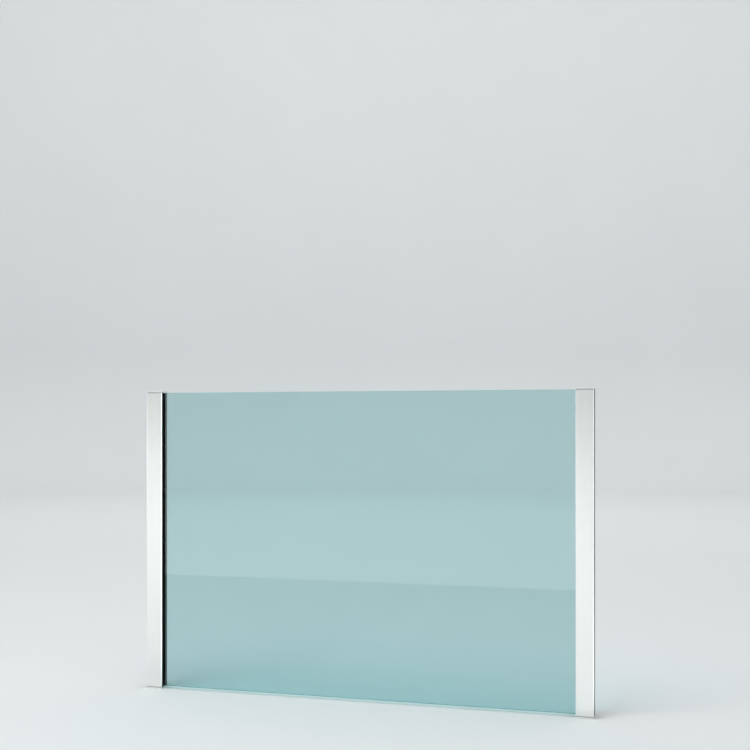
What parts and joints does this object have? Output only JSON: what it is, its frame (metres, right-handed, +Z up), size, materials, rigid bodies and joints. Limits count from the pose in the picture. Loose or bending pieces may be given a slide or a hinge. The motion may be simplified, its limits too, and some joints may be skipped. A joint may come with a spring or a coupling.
{
  "type": "french balcony",
  "caption": "All-glass french balcony: a laminated pane clamped along its sides in slim uprights with satin clip-on covers, screwed to the wall beside a tall window.",
  "frame": {"origin": "centre of the wall fixings, in the wall plane on the back of the two wall profiles, halfway between the uprights and at half their height", "axes": "+X along the wall, to the right as seen from outside; +Y out of the balcony's back, into the wall; +Z up"},
  "size_m": [1.5, 0.048, 1.01],
  "materials": {
    "glass": "clear float glass with a blue-green cast, polished edges",
    "interlayer": "clear laminating film",
    "satin_aluminium": "satin anodised, natural",
    "black_aluminium": "matte anodised, black",
    "rubber": "matte black",
    "block_plastic": "matte dark grey",
    "steel": "plain stainless"
  },
  "bodies": {
    "root": {"glass_front_ply": "glass", "glass_interlayer": "interlayer", "glass_rear_ply": "glass", "left_wall_profile": "black_aluminium", "left_sealing_tape": "rubber", "left_rear_gasket": "rubber", "left_edge_blocks": "block_plastic", "left_setting_block": "block_plastic", "left_front_gasket": "rubber", "left_clamp_profile": "black_aluminium", "left_clamp_screws": "steel", "left_cover_profile": "satin_aluminium", "left_top_cap": "satin_aluminium", "left_bottom_cap": "satin_aluminium", "left_cap_screws": "steel", "right_wall_profile": "black_aluminium", "right_sealing_tape": "rubber", "right_rear_gasket": "rubber", "right_edge_blocks": "block_plastic", "right_setting_block": "block_plastic", "right_front_gasket": "rubber", "right_clamp_profile": "black_aluminium", "right_clamp_screws": "steel", "right_cover_profile": "satin_aluminium", "right_top_cap": "satin_aluminium", "right_bottom_cap": "satin_aluminium", "right_cap_screws": "steel"}
  },
  "joints": []
}
